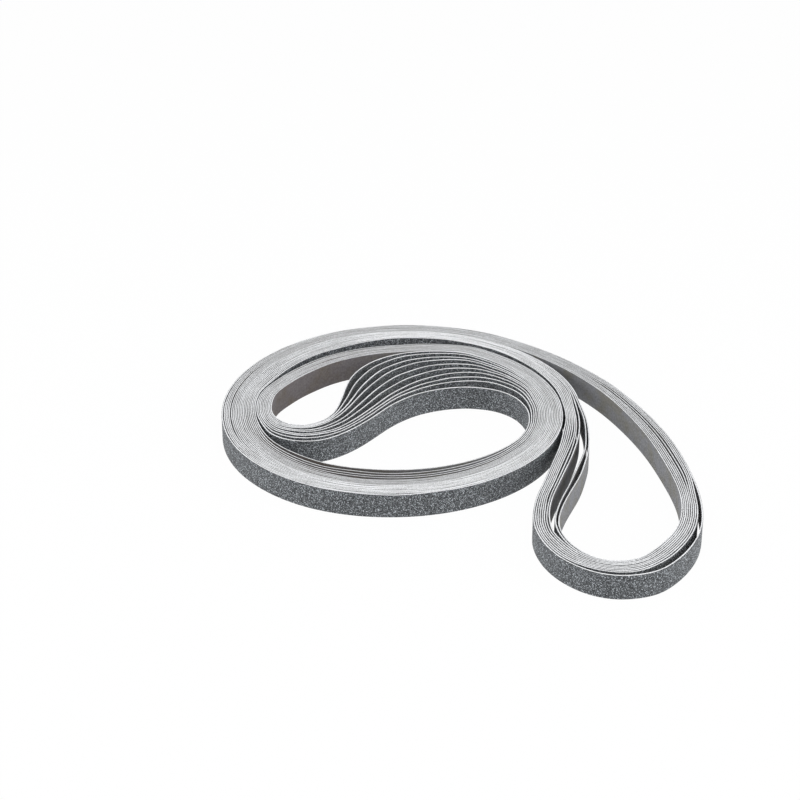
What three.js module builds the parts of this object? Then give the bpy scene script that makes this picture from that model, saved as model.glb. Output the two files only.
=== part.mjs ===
// A bundle of ten endless narrow sanding belts, nested one inside the other.
// The nest is pressed flat into a double strand, and the strand is coiled one and a half turns and
// stands on edge. One end of the strand opens into a teardrop outside the coil, and the other end folds
// back inside the coil, where its ten belts spread like a fan.
//
// Millimetres, +Z up. The belts stand on z = 0, and the origin is under the middle of the bundle.

import * as THREE from 'three';

// ---------------------------------------------------------------- driving dimensions

const beltCount = 10;
const beltWidth = 12.7;       // half an inch: the height of the bundle
const beltThickness = 0.70;   // cloth backing and grain together
const pitch = 0.78;           // from one grain face to the next where the belts lie tight
const strandGap = 0.30;       // air between the backs of two strands that lie side by side
const tapeThickness = 0.10;   // the film that backs each belt's butt joint
const tapeGap = 0.03;         // glue line between a belt's back and its tape
const tapeMargin = 0.3;       // bare belt above and below the tape

const ringStart = 50;         // bearing where the outer strand comes onto the ring from the teardrop
const strandsMeet = 70;       // bearing past which the inner strand is laid against the outer strand
const onSecondTurn = 420;     // bearing past which the outer strand is laid against the inner strand
const foldBearing = 550;      // bearing where the outer strand leaves the ring for the fold
const ringTopBearing = 350;   // bearing where the inner strand comes down onto the ring
const limbBearing = -20;      // bearing where the inner strand leaves the ring for the teardrop
const bearingStep = 10;       // degrees between two stations of the ring
const sharpTurn = 12;         // a free stretch that turns by more than this is cut in two

const stackDepth = (beltCount - 1) * pitch;                       // first grain face to last grain face
const strandDepth = stackDepth + beltThickness;                   // one strand of ten belts, lying tight
const tapeOffset = beltThickness + tapeGap;

// ---------------------------------------------------------------- tables along the ring

// The ring is the round part of the coil. A bearing is an angle at the ring's middle, in degrees,
// anticlockwise from +X, and it goes on past 360 on the second turn. Each row is [bearing, millimetres].

// How far the outer strand's first grain face lies from the ring's middle.
const outerReach = [
  [50, 94.1], [60, 93.3], [75, 91.8], [90, 90.8], [120, 89.7], [150, 89.1], [180, 90.6], [210, 93.1],
  [240, 93.4], [270, 90.8], [300, 87.9], [330, 84.7], [345, 82.7], [360, 80.7], [375, 78.9],
  [390, 77.0], [405, 75.5], [420, 74.3],
];

// The same for the inner strand where it has not met the outer strand yet.
const innerReachAlone = [
  [-20, 84.8], [-10, 83.1], [0, 81.3], [10, 80.5], [20, 79.6], [30, 78.8], [40, 78.3], [50, 77.9],
  [60, 77.2], [70, 76.3],
];

// Air between the outer strand's second turn and the inner strand's first turn, grain to grain.
const secondTurnGap = [
  [420, 3.1], [430, 4.9], [440, 6.5], [450, 7.7], [465, 6.3], [480, 4.7], [500, 3.7], [510, 2.3],
  [520, 1.0], [530, 0.3], [550, 0.25], [560, 0.9],
];

// Slack is the room that a strand takes beyond its tight depth.
const outerSlack = [
  [50, 0.1], [60, 0.1], [100, 0.2], [130, 0.5], [160, 0.7], [190, 1.0], [215, 1.5], [250, 1.4],
  [275, 1.0], [300, 1.0], [320, 0.8], [345, 0.3], [420, 0.2], [450, 1.1], [490, 0.9], [510, 0.5],
  [530, 0.3], [540, 0.2], [550, 0.6], [560, 2.4],
];
const innerSlack = [
  [-20, 5.8], [-10, 3.0], [0, 1.5], [10, 1.2], [20, 1.1], [30, 0.8], [40, 0.4], [50, 0.1], [60, 0.1],
  [90, 0.1], [105, 1.7], [120, 2.7], [135, 2.1], [150, 2.2], [160, 1.8], [170, 0.3], [180, 0.2],
  [195, 1.1], [210, 1.9], [225, 4.0], [240, 6.2], [250, 7.1], [270, 7.1], [290, 5.6], [310, 3.1],
  [330, 0.8], [340, 0.8], [350, 1.7],
];

// ---------------------------------------------------------------- how the slack is shared out

// Nine numbers weigh the nine gaps between neighbouring belts, from the first belt's back inwards.
const shares = {
  even: [1, 1, 1, 1, 1, 1, 1, 1, 1],
  outerSide: [1.5, 0.3, 0.3, 0.3, 2, 0.5, 0.3, 0.3, 0.3],
  innerBack: [1.2, 0.9, 0.9, 1.3, 0.9, 0.9, 0.9, 0.9, 1],
  ringSide: [2.4, 1, 0.9, 0.5, 0.1, 0.1, 0.1, 0.1, 0.1],
  ringFront: [2.2, 1.6, 1.1, 1.2, 0.1, 0.1, 0.1, 0.1, 0.1],
  secondTurn: [4, 0.5, 0.5, 0.5, 0.5, 0.5, 0.5, 0.5, 0.5],
  limb: [0.1, 0.1, 0.1, 0.1, 0.1, 0.1, 3.5, 4, 0.9],
  limbBulge: [0.1, 0.1, 0.1, 0.1, 0.1, 0.1, 2.5, 5.4, 1],
  limbSplit: [0.2, 0.2, 0.2, 0.3, 0.4, 0.1, 0.8, 2.8, 0.7],
  teardropFoot: [2.6, 0.6, 0.6, 0.6, 0.6, 0.6, 0.5, 0.3, 0.3],
  teardropRight: [3.4, 0.4, 0.4, 0.3, 0.3, 0.3, 0.3, 0.2, 0.2],
  rightLimb: [0.2, 0.2, 0.3, 1.3, 1.3, 0.4, 0.4, 0.3, 0.3],
};

// ---------------------------------------------------------------- free stretches, from the ring's middle

// The fold inside the coil and the fan that rises out of it:
// [first belt's grain face], [last belt's grain face], how the slack is shared out.
const foldRows = [
  [[-68.5, -24.9], [-61.9, -17.1], [1.6, 1.5, 0.8, 1.3, 0.8, 1.0, 0.7, 0.7, 0.6]],
  [[-65.0, -31.3], [-58.2, -20.6], [1.9, 1.7, 0.8, 1.4, 0.7, 0.9, 0.5, 0.4, 0.4]],
  [[-58.6, -36.7], [-53.6, -22.5], [2.3, 1.9, 0.5, 1.6, 0.4, 1.1, 0.3, 0.2, 0.2]],
  [[-50.2, -39.3], [-48.7, -23.0], [2.7, 1.6, 0.5, 1.9, 0.4, 1.5, 0.2, 0.2, 0.2]],
  [[-40.4, -38.2], [-43.2, -20.9], [2.1, 1.8, 0.5, 1.4, 0.8, 1.9, 0.3, 0.2, 0.2]],
  [[-31.4, -33.3], [-37.7, -16.3], [1.35, 1.2, 0.65, 2.0, 1.05, 1.9, 0.25, 0.25, 0.35]],
  [[-22.8, -25.4], [-33.5, -8.9], [1.1, 0.7, 0.9, 1.6, 1.25, 1.95, 0.5, 0.5, 0.45]],
  [[-14.8, -15.3], [-30.9, 2.0], [0.75, 0.65, 0.65, 1.55, 1.35, 1.45, 0.6, 1.05, 0.9]],
  [[-7.1, -4.5], [-29.1, 12.7], [0.7, 0.45, 0.6, 1.45, 1.3, 1.4, 0.75, 1.15, 1.1]],
  [[1.2, 4.6], [-27.3, 22.9], [0.9, 0.5, 0.65, 1.35, 1.15, 1.3, 0.9, 1.2, 1.1]],
  [[9.2, 10.7], [-24.1, 32.7], [0.95, 0.6, 0.7, 1.25, 1.15, 1.2, 0.95, 1.1, 1.1]],
  [[18.1, 14.8], [-18.5, 42.4], [1.2, 0.7, 0.8, 1.2, 1.15, 1.2, 0.9, 1, 0.95]],
  [[26.5, 17.0], [-10.8, 50.1], [1.35, 0.75, 0.9, 1.1, 1.1, 1.2, 0.85, 0.95, 0.8]],
  [[35.1, 17.5], [-1.1, 55.4], [1.6, 0.9, 0.9, 1.1, 1.1, 1.1, 0.75, 0.95, 0.55]],
  [[43.3, 16.0], [9.4, 58.0], [1.95, 0.9, 1.05, 1.05, 1, 1, 0.65, 0.85, 0.5]],
];

// The hump where the first belt rounds the fan, while the last belt lies along the ring:
// [first belt's grain face], the ring bearing that the last belt has there, how the slack is shared out.
const humpRows = [
  [[46.9, 14.7], 430, [2.05, 1, 1.1, 1, 0.95, 1.05, 0.55, 0.85, 0.45]],
  [[50.2, 12.9], 420, [2.2, 1, 1.1, 1, 0.9, 0.95, 0.55, 0.85, 0.45]],
  [[53.3, 10.6], 410, [2.4, 1.05, 1.1, 0.9, 0.7, 0.9, 0.6, 0.85, 0.45]],
  [[56.0, 7.9], 400, [2.6, 1.25, 1.05, 0.95, 0.6, 0.85, 0.5, 0.75, 0.45]],
  [[58.4, 4.7], 390, [2.9, 1.35, 1.05, 0.9, 0.6, 0.7, 0.5, 0.6, 0.4]],
  [[60.3, 1.1], 380, [2.9, 1.5, 1.2, 1.0, 0.55, 0.5, 0.45, 0.45, 0.45]],
  [[61.8, -2.8], 370, [2.7, 1.4, 1.0, 0.9, 0.6, 0.6, 0.6, 0.6, 0.6]],
  [[62.9, -6.9], 360, [2.6, 1.6, 1.2, 1.1, 0.5, 0.5, 0.5, 0.5, 0.5]],
];

// The teardrop outside the coil, from the inner strand round to the outer strand:
// [first belt's grain face], slack, how it is shared out.
const teardropRows = [
  [[77.0, -43.3], 6.9, [0.1, 0.1, 0.1, 0.2, 0.2, 0.5, 0.7, 4.1, 0.8]],
  [[73.8, -55.2], 7.8, [0.1, 0.1, 0.1, 0.1, 0.1, 0.8, 0.7, 4.4, 1.5]],
  [[70.5, -67.0], 8.1, [0.1, 0.1, 0.1, 0.1, 0.1, 0.7, 0.5, 4.4, 2.1]],
  [[67.2, -78.8], 7.3, [0.1, 0.1, 0.1, 0.1, 0.1, 0.5, 0.4, 4.5, 1.7]],
  [[63.7, -90.6], 6.5, [0.1, 0.1, 0.1, 0.1, 0.1, 0.6, 0.3, 3.8, 1.3]],
  [[61.3, -102.4], 5.5, [0.2, 0.2, 0.2, 0.2, 0.2, 0.3, 0.2, 2.9, 1.0]],
  [[60.3, -114.3], 4.5, [0.2, 0.2, 0.2, 0.2, 0.2, 0.3, 0.5, 1.8, 0.8]],
  [[61.6, -125.6], 3.8, [0.2, 0.2, 0.2, 0.2, 0.2, 0.4, 0.3, 1.6, 0.4]],
  [[66.0, -138.4], 3.6, [0.4, 0.4, 0.4, 0.4, 0.4, 0.4, 0.4, 0.6, 0.3]],
  [[73.4, -149.4], 3.6, [0.6, 0.4, 0.4, 0.4, 0.4, 0.4, 0.4, 0.4, 0.3]],
  [[83.2, -157.6], 4.2, shares.teardropFoot],
  [[93.6, -161.3], 5.0, shares.teardropFoot],
  [[104.4, -160.9], 5.4, shares.teardropFoot],
  [[114.8, -156.8], 5.8, shares.teardropRight],
  [[123.6, -148.2], 5.6, shares.teardropRight],
  [[130.5, -137.9], 5.0, shares.teardropRight],
  [[135.4, -127.1], 3.9, shares.teardropRight],
  [[138.5, -115.2], 2.9, shares.teardropRight],
  [[139.9, -102.4], 2.1, shares.teardropRight],
  [[140.0, -88.7], 1.8, shares.teardropRight],
  [[138.8, -73.4], 2.0, shares.rightLimb],
  [[136.2, -55.2], 2.6, shares.rightLimb],
  [[132.2, -36.9], 2.6, shares.rightLimb],
  [[126.7, -19.2], 2.3, shares.rightLimb],
  [[119.8, -1.8], 2.0, shares.rightLimb],
  [[111.7, 15.0], 1.7, shares.rightLimb],
  [[102.0, 30.3], 1.2, shares.rightLimb],
  [[91.0, 44.5], 0.8, shares.even],
  [[78.6, 57.4], 0.6, shares.even],
];

// Where each belt's butt joint lies: odd belts have it in the teardrop's foot, even belts in the fan.
// A number counts rows of the table above it from zero.
const teardropJointRows = [13, 12, 11, 10, 9];
const foldJointRows = [8, 9, 10, 11, 12];

// The shares along the ring. Each row is [bearing up to which they hold, shares].
const outerShareBands = [
  [205, shares.outerSide], [425, shares.even], [535, shares.secondTurn], [foldBearing, foldRows[0][2]],
];
const innerShareBands = [
  [-15, shares.limbSplit], [-5, shares.limbBulge], [5, shares.limb],
  [95, shares.even], [175, shares.innerBack], [205, shares.even], [245, shares.ringSide],
  [ringTopBearing, shares.ringFront],
];

// ---------------------------------------------------------------- helpers

const degrees = THREE.MathUtils.degToRad;

// A smooth curve through a table's rows, with each slope taken from the rows on both sides.
function readTable(table, x) {
  const last = table.length - 1;
  let row = 0;
  while (row < last - 1 && x > table[row + 1][0]) row += 1;
  const slopeAt = (k) => {
    const before = table[Math.max(k - 1, 0)];
    const after = table[Math.min(k + 1, last)];
    return (after[1] - before[1]) / (after[0] - before[0]);
  };
  const [x0, y0] = table[row];
  const [x1, y1] = table[row + 1];
  const span = x1 - x0;
  const u = (x - x0) / span;
  const rise = u * u * (3 - 2 * u);
  const leave = u * (1 - u) * (1 - u) * slopeAt(row) * span;
  const arrive = u * u * (u - 1) * slopeAt(row + 1) * span;
  return y0 + (y1 - y0) * rise + leave + arrive;
}

// The part of the slack that lies outside each belt.
function slackBefore(weights) {
  const total = weights.reduce((sum, weight) => sum + weight, 0);
  let sum = 0;
  return [0, ...weights.map((weight) => (sum += weight) / total)];
}

const ringPoint = (bearing, reach) => new THREE.Vector2(
  reach * Math.cos(degrees(bearing)),
  reach * Math.sin(degrees(bearing)),
);

function outerStrandReach(bearing) {
  if (bearing <= onSecondTurn) return readTable(outerReach, bearing);
  return innerStrandReach(bearing - 360) - readTable(secondTurnGap, bearing);
}

function innerStrandReach(bearing) {
  if (bearing < strandsMeet) return readTable(innerReachAlone, bearing);
  const slack = readTable(outerSlack, bearing) + readTable(innerSlack, bearing);
  return outerStrandReach(bearing) - 2 * strandDepth - strandGap - slack;
}

// The grain face of the last belt of a strand whose back lies against the outer strand's back.
function lastBeltReach(bearing) {
  const backOfOuterStrand = outerStrandReach(bearing) - strandDepth - readTable(outerSlack, bearing);
  return backOfOuterStrand - strandGap - beltThickness;
}

// ---------------------------------------------------------------- stations round the loop

// A station is one cross-section of the nest: the first belt's grain face, the direction of the other
// belts from there, the slack and how it is shared out.

const sharesAt = (bands, bearing) => bands.find(([upTo]) => bearing <= upTo)[1];

function outerRingStation(bearing) {
  return {
    face: ringPoint(bearing, outerStrandReach(bearing)),
    inward: ringPoint(bearing, -1),
    slack: readTable(outerSlack, bearing),
    before: slackBefore(sharesAt(outerShareBands, bearing)),
  };
}

function innerRingStation(bearing) {
  return {
    face: ringPoint(bearing, innerStrandReach(bearing)),
    inward: ringPoint(bearing, 1),
    slack: readTable(innerSlack, bearing),
    before: slackBefore(sharesAt(innerShareBands, bearing)),
  };
}

function spanStation(face, lastFace, weights, isFree) {
  const across = lastFace.clone().sub(face);
  return {
    face,
    inward: across.clone().normalize(),
    slack: across.length() - stackDepth,
    before: slackBefore(weights),
    isFree,
  };
}

function buildStations() {
  const stations = [];
  const rowStart = {};
  for (let bearing = ringStart; bearing <= foldBearing; bearing += bearingStep) {
    stations.push(outerRingStation(bearing));
  }
  rowStart.fold = stations.length;
  for (const [face, lastFace, weights] of foldRows) {
    stations.push(spanStation(new THREE.Vector2(...face), new THREE.Vector2(...lastFace), weights, true));
  }
  for (const [face, bearing, weights] of humpRows) {
    const lastFace = ringPoint(bearing, lastBeltReach(bearing));
    stations.push(spanStation(new THREE.Vector2(...face), lastFace, weights, false));
  }
  for (let bearing = ringTopBearing; bearing >= limbBearing; bearing -= bearingStep) {
    stations.push(innerRingStation(bearing));
  }
  rowStart.teardrop = stations.length;
  for (const [face, slack, weights] of teardropRows) {
    const station = { face: new THREE.Vector2(...face), slack, before: slackBefore(weights), isFree: true };
    stations.push(station);
  }
  const count = stations.length;
  stations.forEach((station, k) => {
    if (station.inward) return;
    const ahead = stations[(k + 1) % count].face.clone().sub(stations[(k - 1 + count) % count].face);
    station.inward = new THREE.Vector2(-ahead.y, ahead.x).normalize();
  });
  return { stations, rowStart };
}

const { stations, rowStart } = buildStations();

// ---------------------------------------------------------------- belts

const faceAt = (station, belt) => station.face.clone()
  .addScaledVector(station.inward, belt * pitch + station.slack * station.before[belt]);

// The turn at a station, in degrees, of the first or the last belt, whichever turns more.
function turnAt(index) {
  const count = stations.length;
  const turns = [0, beltCount - 1].map((belt) => {
    const near = [-1, 0, 1].map((step) => stations[(index + step + count) % count]);
    const [before, here, after] = near.map((station) => faceAt(station, belt));
    const arriving = here.clone().sub(before);
    const leaving = after.clone().sub(here);
    return Math.abs(Math.atan2(arriving.cross(leaving), arriving.dot(leaving)));
  });
  return THREE.MathUtils.radToDeg(Math.max(...turns));
}

// The number of straight lengths from each station to the next. It is the same for every belt, and it
// is one all along the ring, so that belts and strands that lie together keep their corners side by side.
const lengths = stations.map((station, index) => {
  const sharper = Math.max(turnAt(index), turnAt(index + 1));
  const next = stations[(index + 1) % stations.length];
  return station.isFree && next.isFree && sharper > sharpTurn ? 2 : 1;
});

// A belt's grain face as a closed polygon, with the place of each station in it.
function beltFace(belt) {
  const through = stations.map((station) => {
    const point = faceAt(station, belt);
    return new THREE.Vector3(point.x, point.y, 0);
  });
  const curve = new THREE.CatmullRomCurve3(through, true, 'centripetal');
  const points = [];
  const stationPlace = [];
  stations.forEach((station, k) => {
    stationPlace.push(points.length);
    for (let j = 0; j < lengths[k]; j += 1) {
      const point = curve.getPoint((k + j / lengths[k]) / stations.length);
      points.push(new THREE.Vector2(point.x, point.y));
    }
  });
  return { points, stationPlace };
}

// A closed polygon moved sideways to the left, with every side moved by the same distance.
function moveInward(points, distance) {
  const count = points.length;
  return points.map((point, k) => {
    const arriving = point.clone().sub(points[(k - 1 + count) % count]).normalize();
    const leaving = points[(k + 1) % count].clone().sub(point).normalize();
    const along = arriving.clone().add(leaving).normalize();
    const left = new THREE.Vector2(-along.y, along.x);
    return point.clone().addScaledVector(left, distance / along.dot(leaving));
  });
}

const faces = Array.from({ length: beltCount }, (unused, belt) => beltFace(belt));
const middle = new THREE.Box2().setFromPoints(faces[0].points).getCenter(new THREE.Vector2());
const fromMiddle = (points) => points.map((point) => point.clone().sub(middle));

function beltGeometry(belt) {
  const { points } = faces[belt];
  const outline = new THREE.Shape(fromMiddle(points));
  outline.holes.push(new THREE.Path(fromMiddle(moveInward(points, beltThickness))));
  return new THREE.ExtrudeGeometry(outline, { depth: beltWidth, bevelEnabled: false });
}

// The tape follows the belt's back from one station to the next.
function tapeGeometry(belt) {
  const { points, stationPlace } = faces[belt];
  const isOdd = belt % 2 === 0;
  const rank = Math.floor(belt / 2);
  const first = isOdd ? rowStart.teardrop + teardropJointRows[rank] : rowStart.fold + foldJointRows[rank];
  const from = stationPlace[first];
  const to = stationPlace[first + 1];
  const glued = moveInward(points, tapeOffset).slice(from, to + 1);
  const bare = moveInward(points, tapeOffset + tapeThickness).slice(from, to + 1);
  const outline = new THREE.Shape(fromMiddle([...glued, ...bare.reverse()]));
  const depth = beltWidth - 2 * tapeMargin;
  return new THREE.ExtrudeGeometry(outline, { depth, bevelEnabled: false }).translate(0, 0, tapeMargin);
}

// ---------------------------------------------------------------- the bundle

const beltMaterial = new THREE.MeshStandardMaterial({ color: 0x6a6d70, roughness: 0.92, metalness: 0 });
const tapeMaterial = new THREE.MeshStandardMaterial({ color: 0xb4ae9c, roughness: 0.45, metalness: 0 });

const bundle = new THREE.Group();
const twoDigits = (number) => String(number).padStart(2, '0');

for (let belt = 0; belt < beltCount; belt += 1) {
  const beltMesh = new THREE.Mesh(beltGeometry(belt), beltMaterial);
  beltMesh.name = `belt_${twoDigits(belt + 1)}`;
  const tapeMesh = new THREE.Mesh(tapeGeometry(belt), tapeMaterial);
  tapeMesh.name = `splice_tape_${twoDigits(belt + 1)}`;
  bundle.add(beltMesh, tapeMesh);
}

export default bundle;
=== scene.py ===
import math

import bpy
import numpy as np
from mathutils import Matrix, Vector


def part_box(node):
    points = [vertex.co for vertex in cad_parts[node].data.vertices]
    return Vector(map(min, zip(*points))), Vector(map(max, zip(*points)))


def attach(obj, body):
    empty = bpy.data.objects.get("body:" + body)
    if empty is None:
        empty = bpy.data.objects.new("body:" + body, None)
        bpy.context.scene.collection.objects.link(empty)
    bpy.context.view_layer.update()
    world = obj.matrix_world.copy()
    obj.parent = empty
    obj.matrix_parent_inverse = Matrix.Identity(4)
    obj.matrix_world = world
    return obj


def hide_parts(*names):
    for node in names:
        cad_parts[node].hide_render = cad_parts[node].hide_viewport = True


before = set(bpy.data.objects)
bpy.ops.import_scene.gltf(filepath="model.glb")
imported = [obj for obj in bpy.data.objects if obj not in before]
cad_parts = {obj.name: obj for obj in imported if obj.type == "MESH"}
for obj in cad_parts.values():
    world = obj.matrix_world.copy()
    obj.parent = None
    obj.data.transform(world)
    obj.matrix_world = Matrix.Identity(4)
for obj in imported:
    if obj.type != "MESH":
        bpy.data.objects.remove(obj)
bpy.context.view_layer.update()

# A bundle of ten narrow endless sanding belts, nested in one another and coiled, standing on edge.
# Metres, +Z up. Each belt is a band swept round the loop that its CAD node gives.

mm = 0.001

beltNames = sorted(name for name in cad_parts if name.startswith("belt_"))
print("loaded", len(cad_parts), "nodes,", len(beltNames), "belts")


# Shader maths: an expression on wires adds its Math nodes.

class Wire:
    def __init__(self, nodes, socket):
        self.nodes = nodes
        self.socket = socket

    def math(self, operation, *values):
        return self.nodes.add("ShaderNodeMath", {"operation": operation}, dict(enumerate(values)))

    def __add__(self, other):
        return self.math("ADD", self, other)

    def __radd__(self, other):
        return self.math("ADD", other, self)

    def __sub__(self, other):
        return self.math("SUBTRACT", self, other)

    def __rsub__(self, other):
        return self.math("SUBTRACT", other, self)

    def __mul__(self, other):
        return self.math("MULTIPLY", self, other)

    def __rmul__(self, other):
        return self.math("MULTIPLY", other, self)

    def sine(self):
        return self.math("SINE", self)

    def between(self, low, high):  # 0 at low, 1 at high, smooth on the way
        return self.nodes.add("ShaderNodeMapRange", {"interpolation_type": "SMOOTHSTEP"},
                              {"Value": self, "From Min": low, "From Max": high})


class Nodes:
    def __init__(self, owner):  # owner is a new material or world
        owner.use_nodes = True
        self.owner = owner
        self.tree = owner.node_tree
        self.tree.nodes.clear()

    def add(self, kind, settings=None, values=None, output=0):
        node = self.tree.nodes.new(kind)
        for name, value in (settings or {}).items():
            if name == "stops":
                self.setStops(node.color_ramp, value)
            else:
                setattr(node, name, value)
        for name, value in (values or {}).items():
            if isinstance(value, Wire):
                self.tree.links.new(value.socket, node.inputs[name])
            else:
                node.inputs[name].default_value = value
        return Wire(self, node.outputs[output]) if len(node.outputs) else None

    def setStops(self, ramp, stops):  # each stop is (place, grey)
        for place, grey in stops[2:]:
            ramp.elements.new(place)
        for element, (place, grey) in zip(ramp.elements, stops):
            element.position = place
            element.color = (grey, grey, grey, 1)

    def mix(self, share, low, high, blend="MIX"):
        low, high = ((*colour, 1) if isinstance(colour, tuple) else colour for colour in (low, high))
        return self.add("ShaderNodeMix", {"data_type": "RGBA", "blend_type": blend},
                        {0: share, 6: low, 7: high}, 2)

    def grey(self, value):
        return self.add("ShaderNodeCombineColor", {}, {"Red": value, "Green": value, "Blue": value})

    def channel(self, colour, number):
        return self.add("ShaderNodeSeparateColor", {}, {"Color": colour}, number)

    def noise(self, place, scale, detail=2.0, rough=0.5):
        return self.add("ShaderNodeTexNoise", {"noise_dimensions": "3D"},
                        {"Vector": place, "Scale": scale, "Detail": detail, "Roughness": rough}, "Fac")

    def bump(self, height, distance, strength):
        return self.add("ShaderNodeBump", {}, {"Height": height, "Distance": distance, "Strength": strength})

    def attribute(self, name):
        return self.add("ShaderNodeAttribute", {"attribute_name": name}, {}, "Fac")

    def beltMillimetres(self):  # the place on a belt: x along the loop, y round the section
        place = self.add("ShaderNodeUVMap", {"uv_map": "beltPlace"})
        return self.add("ShaderNodeVectorMath", {"operation": "SCALE"}, {0: place, "Scale": 1 / mm})

    def axis(self, vector, number):
        return self.add("ShaderNodeSeparateXYZ", {}, {"Vector": vector}, number)

    def surface(self, values):
        shader = self.add("ShaderNodeBsdfPrincipled", {}, values)
        self.add("ShaderNodeOutputMaterial", {}, {"Surface": shader})
        return self.owner

    def seenDirectly(self):  # 1 on rays from the camera, in a mirror or through glass
        paths = [self.add("ShaderNodeLightPath", {}, {}, ray)
                 for ray in ("Is Camera Ray", "Is Glossy Ray", "Is Transmission Ray")]
        total = paths[0] + paths[1] + paths[2]
        return total.math("MINIMUM", total, 1.0)


def newFinish(name):
    return Nodes(bpy.data.materials.new(name))


# Belt loops, read from the CAD nodes.

# Follows a chain of points. Each pass doubles the stretch that has been followed.
def follow(nextPoint, start, count):
    walked = np.array([start])
    jump = nextPoint
    while len(walked) < count:
        walked = np.concatenate([walked, jump[walked]])
        jump = jump[jump]
    return walked[:count]


# The wall triangles of a straight-sided band have two or one of their corners at the foot.
# Those with two give one step of an outline each, and the outlines follow from the steps, longest first.
def outlines(node):
    mesh = node.data
    mesh.calc_loop_triangles()
    place = np.empty(len(mesh.vertices) * 3)
    mesh.vertices.foreach_get("co", place)
    place = place.reshape(-1, 3)
    corner = np.empty(len(mesh.loop_triangles) * 3, np.int32)
    mesh.loop_triangles.foreach_get("vertices", corner)
    corner = corner.reshape(-1, 3)
    spots, spot = np.unique(np.round(place[:, :2], 7), axis=0, return_inverse=True)
    spot = spot.reshape(-1)
    isLow = place[:, 2] < (place[:, 2].min() + place[:, 2].max()) / 2
    wall = corner[isLow[corner].sum(1) == 2]
    top = np.argmin(isLow[wall], axis=1)  # the next two corners, in turn, make the step
    rows = np.arange(len(wall))
    nextPoint = np.arange(len(spots))
    nextPoint[spot[wall[rows, (top + 1) % 3]]] = spot[wall[rows, (top + 2) % 3]]
    loops = []
    left = np.ones(len(spots), bool)
    while left.any():
        start = int(np.argmax(left))
        walked = follow(nextPoint, start, len(spots))
        again = np.flatnonzero(walked[1:] == start)
        loop = walked[: again[0] + 1] if len(again) else walked
        left[loop] = False
        loops.append(spots[loop])
    return sorted(loops, key=lambda loop: -np.linalg.norm(np.roll(loop, -1, 0) - loop, axis=1).sum())


# A closed cubic spline through points: on each span it is the cubic whose bends at the two ends are such
# that slope and bend carry on smoothly, which is a ring of linear equations. Gives the place and the slope
# at a distance along the chords, and the whole distance.
def closedSpline(points):
    step = np.linalg.norm(np.roll(points, -1, 0) - points, axis=1)
    count = len(points)
    rows = np.arange(count)
    before = np.roll(step, 1)
    system = np.zeros((count, count))
    system[rows, rows] = 2 * (before + step)
    system[rows, (rows - 1) % count] = before
    system[rows, (rows + 1) % count] = step
    slope = (np.roll(points, -1, 0) - points) / step[:, None]
    bend = np.linalg.solve(system, 6 * (slope - np.roll(slope, 1, 0)))
    knot = np.concatenate([[0], np.cumsum(step)])

    def at(distance):
        distance = np.mod(distance, knot[-1])
        row = np.clip(np.searchsorted(knot, distance, side="right") - 1, 0, count - 1)
        span = step[row][:, None]
        t = (distance - knot[row])[:, None]
        bendHere = bend[row]
        bendNext = bend[(row + 1) % count]
        leaving = slope[row] - span * (2 * bendHere + bendNext) / 6
        growth = (bendNext - bendHere) / span
        place = points[row] + t * leaving + t * t * bendHere / 2 + t ** 3 * growth / 6
        return place, leaving + t * bendHere + t * t * growth / 2

    return at, knot[-1]


# The inward side of a slope, for loops that run anticlockwise: a quarter turn to the left.
def inwardOf(slope):
    slope = slope / np.linalg.norm(slope, axis=1)[:, None]
    return np.stack([-slope[:, 1], slope[:, 0]], 1)


# Even steps along the true length of a closed spline, from a starting distance.
def evenSteps(points, count, start):
    finer = 20
    at, length = closedSpline(points)
    fine = start + np.linspace(0, length, finer * count + 1)
    place, slope = at(fine)
    walked = np.concatenate([[0], np.cumsum(np.linalg.norm(np.diff(place, axis=0), axis=1))])
    where = np.interp(np.linspace(0, walked[-1], count, endpoint=False), walked, fine)
    place, slope = at(where)
    return place, inwardOf(slope), walked[-1]


# A random sum of whole waves round a loop, so that it closes on itself; high is its usual size.
def wander(rng, count, waves, high):
    turn = np.linspace(0, 2 * math.pi, count, endpoint=False)
    sizes = rng.normal(size=len(waves)) / np.sqrt(len(waves))
    phases = rng.uniform(0, 2 * math.pi, len(waves))
    return high * (sizes[:, None] * np.sin(np.array(waves)[:, None] * turn + phases[:, None])).sum(0)


def newPiece(name, places, faces):
    mesh = bpy.data.meshes.new(name)
    mesh.from_pydata(places.reshape(-1, 3), [], faces.tolist())
    mesh.polygons.foreach_set("use_smooth", np.ones(len(faces), bool))
    mesh.update()
    mesh.set_sharp_from_angle(angle=math.radians(38))
    piece = bpy.data.objects.new(name, mesh)
    bpy.context.scene.collection.objects.link(piece)
    return piece


def stands(piece, node, body):
    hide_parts(node)
    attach(piece, body)


# The belts.

belt = {
    "steps": 1504,              # cross-sections round each loop
    "strips": 8,                # equal lengths that the belt's bake map is cut into, which divide the steps
    "stripGap": 0.03,           # share of a strip's width left free at each side of it
    "thickness": 0.70 * mm,
    "edgeSlant": 0.26 * mm,     # how much lower a cut edge is at the grain than at the back
    "corner": 0.04 * mm,        # rounding of the back's corner
    "fray": 0.08 * mm,          # how far the cut edge's light fibres hang over the back
    "grainLayer": 0.23,         # share of the cut edge that is grain
    "sink": 0.08 * mm,          # usual depth of the stretches that sit below their neighbours
    "edgeRoughness": 0.014 * mm,
    "seed": 41,
}
grainFace, cutEdge, clothBack = 0, 1, 2


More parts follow.
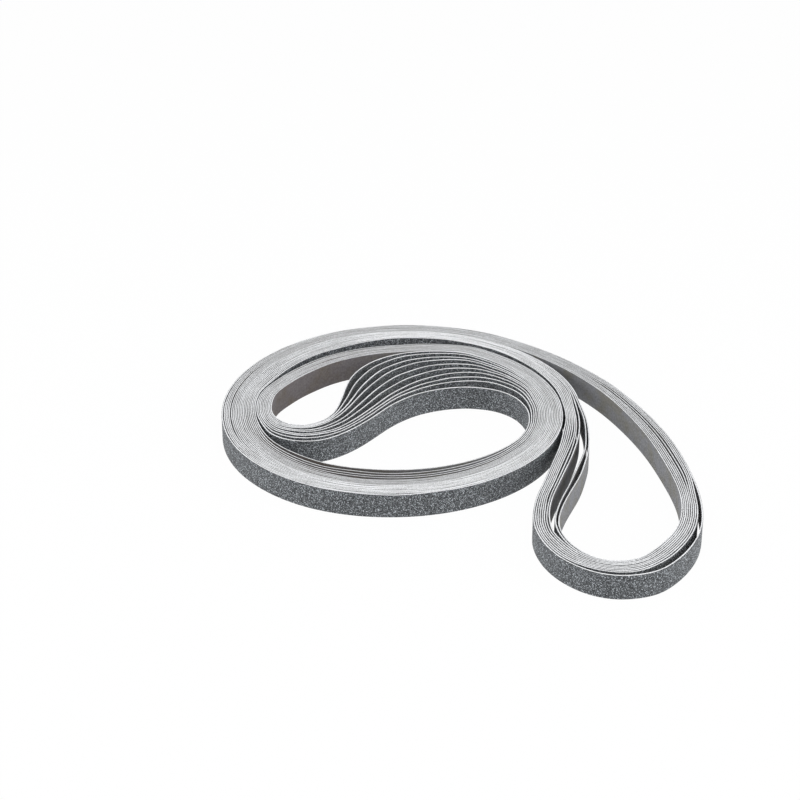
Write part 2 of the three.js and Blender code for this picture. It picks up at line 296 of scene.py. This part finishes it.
# The section of a belt runs up the grain face, over the slanted top edge, down the back and home.
# Each row is depth from the grain face, level, and the finish of the strip that follows it.
def beltSection(top):
    deep, slant, corner, fray = (belt[key] for key in ("thickness", "edgeSlant", "corner", "fray"))
    overEdge = [(0.02, 0.80), (0.25, 0.55), (0.55, 0.25)]  # share of the depth, share of the slant
    faceLevels = np.array([0.0, 0.02, 0.5, 0.98])
    grainFoot = 0.9 * slant
    rows = [(0.0, grainFoot + (top - 2 * grainFoot) * share, grainFace) for share in faceLevels]
    rows += [(0.0, top - grainFoot, cutEdge)]
    rows += [(depth * deep, top - drop * slant, cutEdge) for depth, drop in overEdge]
    rows += [(deep - 1.6 * corner, top - 0.1 * corner, cutEdge), (deep - 0.4 * corner, top - 0.3 * corner, cutEdge)]
    rows += [(deep, top - corner, cutEdge), (deep, top - corner - fray, clothBack)]
    rows += [(deep, corner + (top - 2 * corner) * share, clothBack) for share in (0.75, 0.5, 0.25, 0.02)]
    rows += [(deep, corner, cutEdge), (deep - 0.4 * corner, 0.3 * corner, cutEdge)]
    rows += [(deep - 1.6 * corner, 0.1 * corner, cutEdge)]
    rows += [(depth * deep, drop * slant, cutEdge) for depth, drop in overEdge[::-1]]
    depth, level, kind = (np.array(column) for column in zip(*rows))
    return depth, level, kind


# A band: the section is carried along the loop, depth along the loop's inward side and level along +Z.
# Its top sinks by the square of a sum of waves, so that most of it is level and some stretches are low.
def beltBand(name, loop, start, height, finishes, seed):
    rng = np.random.default_rng(seed)
    count = belt["steps"]
    place, inward, length = evenSteps(loop, count, start)
    depth, level, kind = beltSection(height)
    across = len(depth)
    dip = belt["sink"] * np.minimum(wander(rng, count, [3, 5, 8, 13, 21, 34], 1.0) ** 2, 5.0)
    dip += np.abs(rng.normal(size=count)) * belt["edgeRoughness"]
    isTop = level > 0.9 * height
    z = level[None, :] - np.where(isTop[None, :], dip[:, None], 0)
    hang = np.flatnonzero(np.isclose(level, height - belt["corner"] - belt["fray"]))
    z[:, hang] -= np.abs(rng.normal(size=(count, 1))) * 0.5 * belt["fray"]
    xy = place[:, None, :] + depth[None, :, None] * inward[:, None, :]
    places = np.concatenate([xy, z[:, :, None]], 2)

    i, j = np.meshgrid(np.arange(count), np.arange(across), indexing="ij")
    iNext = (i + 1) % count
    jNext = (j + 1) % across
    faces = np.stack([i * across + j, iNext * across + j, iNext * across + jNext, i * across + jNext], -1)
    piece = newPiece(name, places, faces.reshape(-1, 4))
    for finish in finishes:
        piece.data.materials.append(finish)
    piece.data.polygons.foreach_set("material_index", kind[j].ravel())

    # the belt's own place: metres along the loop, metres round the section
    around = np.hypot(np.roll(depth, -1) - depth, np.roll(level, -1) - level)
    girth = np.concatenate([[0], np.cumsum(around)])
    u0 = i * length / count + seed * 0.37
    u1 = u0 + length / count
    v0, v1 = girth[j], girth[j + 1]
    corners = np.stack([u0, v0, u1, v0, u1, v1, u0, v1], -1)
    layer = piece.data.uv_layers.new(name="beltPlace")
    layer.uv.foreach_set("vector", corners.astype(np.float32).ravel())

    # the bake map: the unrolled belt cut into strips, one above the other in the unit square
    perStrip = count // belt["strips"]
    gap = belt["stripGap"]
    strip, step = np.divmod(i, perStrip)
    u0, u1 = (gap / belt["strips"] + (1 - 2 * gap / belt["strips"]) * at / perStrip for at in (step, step + 1))
    v0, v1 = ((strip + gap + (1 - 2 * gap) * at[j] / girth[-1]) / belt["strips"] for at in (girth, girth[1:]))
    corners = np.stack([u0, v0, u1, v0, u1, v1, u0, v1], -1)
    layer = piece.data.uv_layers.new(name="OFBake")
    layer.uv.foreach_set("vector", corners.astype(np.float32).ravel())
    for key, values in (("depthShare", np.tile(depth / belt["thickness"], count)),
                        ("beltTone", np.full(count * across, rng.uniform()))):
        attribute = piece.data.attributes.new(key, "FLOAT", "POINT")
        attribute.data.foreach_set("value", values.astype(np.float32))
    return piece


grain = {
    "gritSize": 0.28,           # millimetres between grains
    "tint": (0.93, 0.985, 1.04),
    "tones": [(0.0, 0.030), (0.38, 0.064), (0.68, 0.118), (0.87, 0.27), (1.0, 0.85)],
    "bump": 0.10 * mm,
}


# Grains are cells: each has one tone and one height, lower and darker towards its rim.
def grainFinish():
    f = newFinish("abrasiveGrain")
    place = f.beltMillimetres()
    cells = {"Vector": place, "Scale": 1 / grain["gritSize"]}
    cell = f.add("ShaderNodeTexVoronoi", {"voronoi_dimensions": "2D"}, cells, "Color")
    rim = f.add("ShaderNodeTexVoronoi", {"voronoi_dimensions": "2D"}, cells, "Distance")
    ramp = f.add("ShaderNodeValToRGB", {"stops": grain["tones"]}, {"Fac": f.channel(cell, 0)})
    clump = f.noise(place, 0.9, 2.0, 0.5)
    shade = f.channel(ramp, 0) * (0.80 + 0.40 * clump) * (1.12 - 0.45 * rim)
    colour = f.mix(1.0, f.grey(shade), grain["tint"], "MULTIPLY")
    height = (1 - rim) * (0.35 + 0.65 * f.channel(cell, 1)) + 0.3 * f.noise(place, 4.0)
    rough = 0.48 + 0.35 * f.channel(cell, 2)
    return f.surface({"Base Color": colour, "Roughness": rough, "Specular IOR Level": 0.4,
                      "Normal": f.bump(height, grain["bump"], 0.75)})


back = {
    "thread": 0.40,             # millimetres between threads
    "cool": (0.226, 0.228, 0.241),
    "warm": (0.203, 0.196, 0.176),
    "paintedShade": (0.67, 0.60, 0.58),  # painted shade: the coil's left side is made darker and browner, as a share of the colour
    "paintedShadeFrom": -0.070,         # metres along X over which the painted shade fades out
    "paintedShadeTo": 0.010,
    "bump": 0.03 * mm,
}


# Resin-filled twill: slanted threads as a sine of both places, crossed by a finer one, on a cloudy colour.
def backFinish():
    f = newFinish("clothBack")
    place = f.beltMillimetres()
    turn = 2 * math.pi / back["thread"]
    sway = 2.2 * f.noise(place, 0.8)
    twill = (turn * f.axis(place, 0) + 0.55 * turn * f.axis(place, 1) + sway).sine()
    weft = (1.1 * turn * f.axis(place, 1)).sine()
    weave = 0.5 + 0.30 * twill + 0.20 * weft
    cloud = f.noise(place, 0.09, 4.0, 0.62).between(0.38, 0.66)
    stain = f.noise(place, 0.35, 3.0, 0.6)
    fleck = f.noise(place, 0.85, 3.0, 0.75).between(0.34, 0.66)
    # Painted shade: the backing is made darker and browner towards the coil's left side, by its place along X.
    side = f.axis(f.add("ShaderNodeTexCoord", {}, {}, "Object"), 0)
    outsidePaintedShade = side.between(back["paintedShadeFrom"], back["paintedShadeTo"])
    colour = f.mix(cloud, back["cool"], back["warm"])
    colour = f.mix(1.0, colour, f.mix(outsidePaintedShade, back["paintedShade"], (1.0, 1.0, 1.0)), "MULTIPLY")
    colour = f.mix(1.0, colour, f.grey(0.60 + 0.30 * stain + 0.14 * weave + 0.38 * fleck), "MULTIPLY")
    height = weave + 0.8 * fleck
    return f.surface({"Base Color": colour, "Roughness": 0.78 - 0.12 * stain, "Specular IOR Level": 0.35,
                      "Normal": f.bump(height, back["bump"], 0.6)})


edge = {
    "thread": 0.42,             # millimetres between thread ends
    "bright": (0.95, 0.958, 0.975),
    "dull": (0.55, 0.545, 0.54),
    "grain": (0.050, 0.052, 0.056),
    "softness": 0.05,           # share of the depth over which cloth gives way to grain
    "ragged": 0.34,             # how far that line strays, as a share of the depth
    "bump": 0.05 * mm,
}


# Thread ends and fuzz: a sine along the belt and a noise, lighter and duller in long stretches.
# Towards the grain side the cloth gives way to the dark grain layer, along a ragged line.
def edgeFinish():
    f = newFinish("cutClothEdge")
    place = f.beltMillimetres()
    fuzz = f.noise(place, 2.6, 2.0, 0.65).between(0.30, 0.70)
    sway = 3.0 * f.noise(place, 0.7)
    ends = 0.5 + 0.5 * (2 * math.pi / edge["thread"] * f.axis(place, 0) + sway).sine()
    stretch = f.noise(place, 0.06, 3.0, 0.6).between(0.36, 0.64)
    light = 0.36 * fuzz + 0.24 * ends + 0.22 * stretch + 0.18 * f.attribute("beltTone")
    cloth = f.mix(light, edge["dull"], edge["bright"])
    strays = edge["ragged"] * (0.7 * fuzz + 0.3 * stretch - 0.5)
    inGrain = 1 - (f.attribute("depthShare") + strays).between(
        belt["grainLayer"] - edge["softness"], belt["grainLayer"] + edge["softness"])
    colour = f.mix(inGrain, cloth, edge["grain"])
    return f.surface({"Base Color": colour, "Roughness": 0.9 - 0.1 * fuzz, "Specular IOR Level": 0.2,
                      "Normal": f.bump(fuzz + 0.6 * ends, edge["bump"], 0.5)})


# Splice tapes: a thin film on the back of each belt, over its butt joint.

tape = {
    "gap": 0.03 * mm,           # glue line
    "thickness": 0.10 * mm,
    "columns": 28,
    "rows": 8,
    "dark": (0.50, 0.46, 0.37),
    "light": (0.62, 0.59, 0.51),
    "bump": 0.04 * mm,
}


def tapeFinish():
    f = newFinish("spliceFilm")
    place = f.add("ShaderNodeTexCoord", {}, {}, "Object")
    smear = f.noise(place, 260.0, 3.0, 0.6)
    streak = f.noise(place, 2400.0)
    colour = f.mix(smear.between(0.3, 0.7), tape["dark"], tape["light"])
    return f.surface({"Base Color": colour, "Roughness": 0.22 + 0.25 * smear,
                      "Normal": f.bump(smear + 0.3 * streak, tape["bump"], 0.5)})


# A film: two grids that follow the belt's back at two depths, over the stretch that the CAD node covers,
# and a strip of faces round their rims. Returns the piece and the distance of its middle along the loop.
def tapeFilm(name, loop, node, finish):
    at, length = closedSpline(loop)
    glued = belt["thickness"] + tape["gap"]
    fine = np.linspace(0, length, 8000, endpoint=False)
    place, slope = at(fine)
    halfway = place + (glued + tape["thickness"] / 2) * inwardOf(slope)
    rim = outlines(node)[0]
    nearest = np.argmin(np.linalg.norm(halfway[None] - rim[:, None], axis=2), axis=1)
    covered = fine[nearest]
    if np.ptp(covered) > length / 2:
        covered = np.where(covered < length / 2, covered + length, covered)
    low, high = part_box(node.name)
    along = np.linspace(covered.min(), covered.max(), tape["columns"])
    up = np.linspace(low.z, high.z, tape["rows"])
    place, slope = at(along)
    depth = np.array([glued, glued + tape["thickness"]])
    xy = place[None, :, None, :] + depth[:, None, None, None] * inwardOf(slope)[None, :, None, :]
    grid = (2, len(along), len(up))
    z = np.broadcast_to(up[None, None, :, None], (*grid, 1))
    places = np.concatenate([np.broadcast_to(xy, (*grid, 2)), z], 3)
    number = np.arange(places[..., 0].size).reshape(grid)

    def quads(sheet):
        return np.stack([sheet[:-1, :-1], sheet[1:, :-1], sheet[1:, 1:], sheet[:-1, 1:]], -1).reshape(-1, 4)

    first = number[0]
    around = np.concatenate([first[:, 0], first[-1, 1:], first[-2::-1, -1], first[0, -2:0:-1]])
    across = around + number[1, 0, 0]
    sides = np.stack([around, across, np.roll(across, -1), np.roll(around, -1)], -1)
    faces = np.concatenate([quads(first), quads(number[1])[:, ::-1], sides])
    piece = newPiece(name, places, faces)
    piece.data.materials.append(finish)
    return piece, (covered.min() + covered.max()) / 2


finishes = [grainFinish(), edgeFinish(), backFinish()]
filmFinish = tapeFinish()
print("finishes made")

for number, name in enumerate(beltNames, start=1):
    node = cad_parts[name]
    tapeName = name.replace("belt", "splice_tape")
    loop = outlines(node)[0]
    film, joint = tapeFilm(f"joint_film_{number:02d}", loop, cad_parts[tapeName], filmFinish)
    stands(film, tapeName, name)
    low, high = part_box(name)
    band = beltBand(f"band_{number:02d}", loop, joint, high.z, finishes, belt["seed"] + number)
    stands(band, name, name)
print("belts made:", len(beltNames))


# Floor, room light, lamps and camera.

stage = {
    "floorSize": 6.0,
    "floorTone": (0.86, 0.86, 0.86),
    "plainWhite": 0.97,         # share of the floor's light that is plain white where it is seen directly
    "room": (0.96, 0.98, 1.0),
    "roomLight": 0.43,
}


def floorFinish():
    f = newFinish("whiteFloor")
    lit = f.add("ShaderNodeBsdfDiffuse", {}, {"Color": (*stage["floorTone"], 1)})
    white = f.add("ShaderNodeEmission", {}, {"Color": (1, 1, 1, 1), "Strength": 1.0})
    mixed = f.add("ShaderNodeMixShader", {}, {0: f.seenDirectly() * stage["plainWhite"], 1: lit, 2: white})
    f.add("ShaderNodeOutputMaterial", {}, {"Surface": mixed})
    return f.owner


def roomWorld():
    f = Nodes(bpy.data.worlds.new("softRoom"))
    room = f.add("ShaderNodeBackground", {}, {"Color": (*stage["room"], 1), "Strength": stage["roomLight"]})
    white = f.add("ShaderNodeBackground", {}, {"Color": (1, 1, 1, 1), "Strength": 1.0})
    mixed = f.add("ShaderNodeMixShader", {}, {0: f.seenDirectly(), 1: room, 2: white})
    f.add("ShaderNodeOutputWorld", {}, {"Surface": mixed})
    return f.owner


half = stage["floorSize"] / 2
floorPlaces = np.array([(-half, -half, 0), (half, -half, 0), (half, half, 0), (-half, half, 0)])
floor = newPiece("floor", floorPlaces, np.array([[0, 1, 2, 3]]))
floor.data.materials.append(floorFinish())
bpy.context.scene.world = roomWorld()

# Each lamp: place, size, watts, colour. All of them look at the bundle.
lamps = {
    "left": ((-1.2, -0.1, 0.45), (0.9, 0.9), 6.2, (0.98, 0.99, 1.0)),
    "right": ((1.2, -0.2, 0.45), (0.9, 0.9), 7.6, (0.98, 0.99, 1.0)),
    "over": ((0.0, -0.6, 1.3), (1.2, 1.0), 11.0, (1.0, 1.0, 1.0)),
}
for lampName, (spot, size, watts, colour) in lamps.items():
    light = bpy.data.lights.new(lampName, "AREA")
    light.shape = "RECTANGLE"
    light.size, light.size_y = size
    light.energy = watts
    light.color = colour
    lamp = bpy.data.objects.new(lampName, light)
    lamp.location = spot
    lamp.rotation_euler = Vector(spot).to_track_quat("Z", "Y").to_euler()
    bpy.context.scene.collection.objects.link(lamp)

view = {"spot": (-0.025635, -0.947278, 0.537127), "tilt": 62.0, "lens": 99.0, "sensor": 36.0}
lens = bpy.data.cameras.new("camera")
lens.lens = view["lens"]
lens.sensor_width = view["sensor"]
camera = bpy.data.objects.new("camera", lens)
camera.location = view["spot"]
camera.rotation_euler = (math.radians(view["tilt"]), 0, 0)
bpy.context.scene.collection.objects.link(camera)
bpy.context.scene.camera = camera
bpy.context.scene.view_settings.view_transform = "Standard"
print("stage set")
